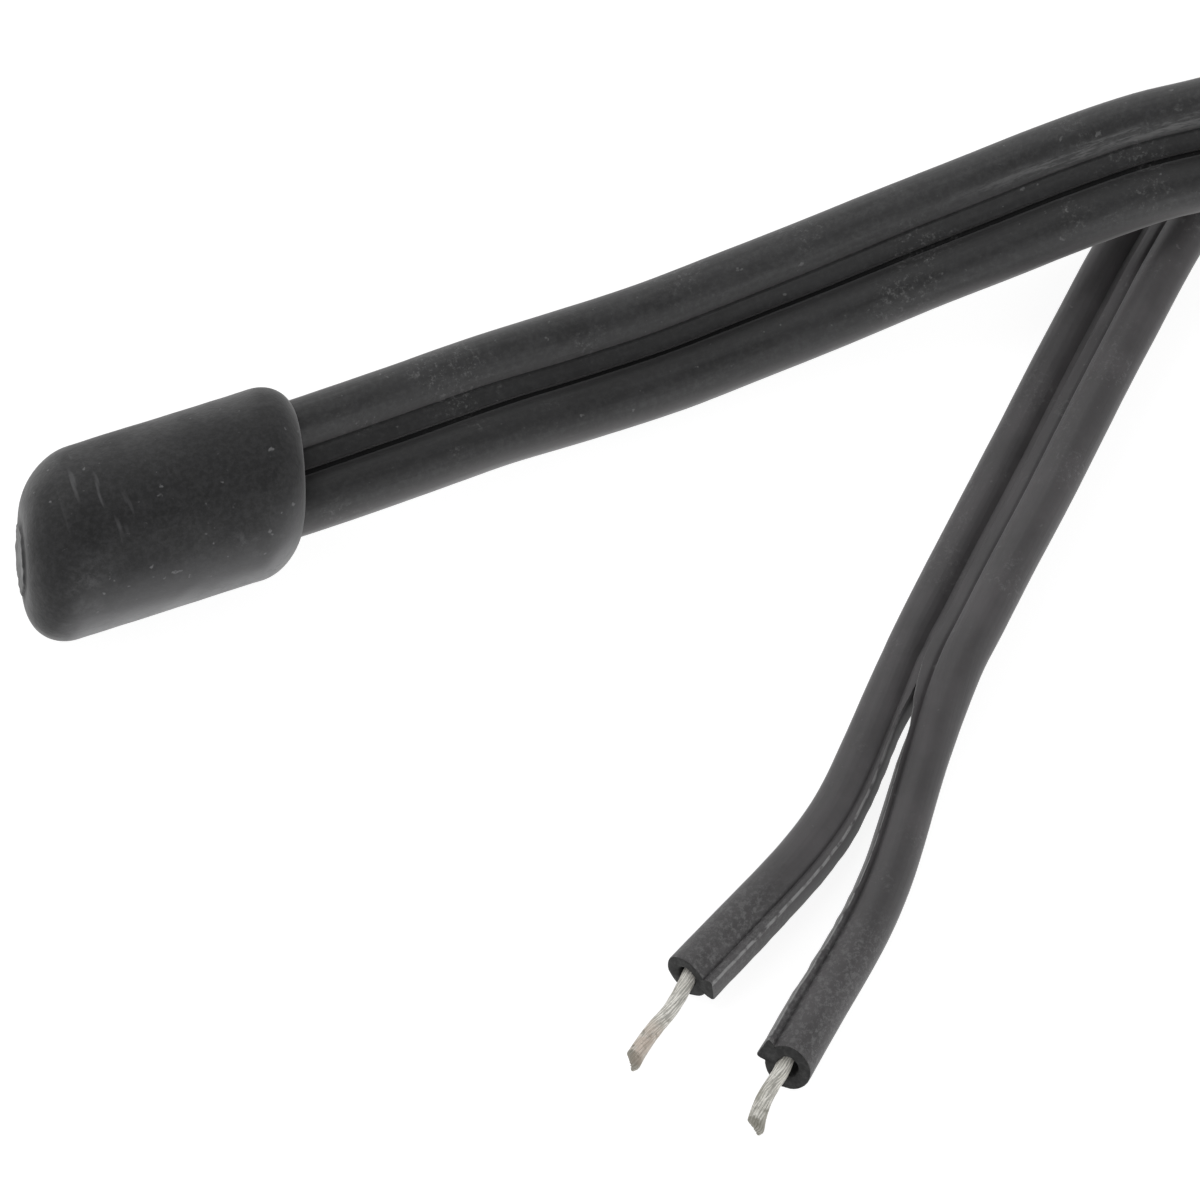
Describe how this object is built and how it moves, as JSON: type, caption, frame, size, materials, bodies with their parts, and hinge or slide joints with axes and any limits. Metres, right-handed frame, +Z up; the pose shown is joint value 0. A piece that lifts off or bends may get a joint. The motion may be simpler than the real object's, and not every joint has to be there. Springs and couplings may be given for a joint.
{
  "type": "ntc temperature probe",
  "caption": "Small moulded cylindrical NTC thermistor probe on a flat two-core cable that is wound into a hank and ends in parted cores with bare tinned wires.",
  "frame": {"origin": "on the surface that the probe lies on, under the middle of the moulded head", "axes": "+X from the head's nose to the end that the cable leaves, +Z up, +Y to the left when looking along +X"},
  "size_m": [0.1054, 0.0427, 0.0071],
  "materials": {
    "head_rubber": "matt moulded rubber, dusty, with a rough cut gate at the nose",
    "cable_rubber": "satin black insulation, lightly scuffed",
    "tinned_copper": "bright tinned copper strands",
    "epoxy": "dark glossy potting drop",
    "white_sleeve": "off-white insulating sleeve",
    "tie_plastic": "plain black band"
  },
  "bodies": {
    "root": {"sensor_head": "head_rubber", "thermistor_bead": "epoxy", "thermistor_lead_a": "tinned_copper", "thermistor_lead_b": "tinned_copper", "lead_sleeve_a": "white_sleeve", "lead_sleeve_b": "white_sleeve", "splice_a": "tinned_copper", "splice_b": "tinned_copper", "conductor_end_a": "tinned_copper", "conductor_end_b": "tinned_copper", "cable_outgoing": "cable_rubber", "cable_hank": "cable_rubber", "cable_return": "cable_rubber", "core_a": "cable_rubber", "core_b": "cable_rubber", "bare_wire_a": "tinned_copper", "bare_wire_b": "tinned_copper", "hank_tie_a": "tie_plastic", "hank_tie_b": "tie_plastic"}
  },
  "joints": []
}
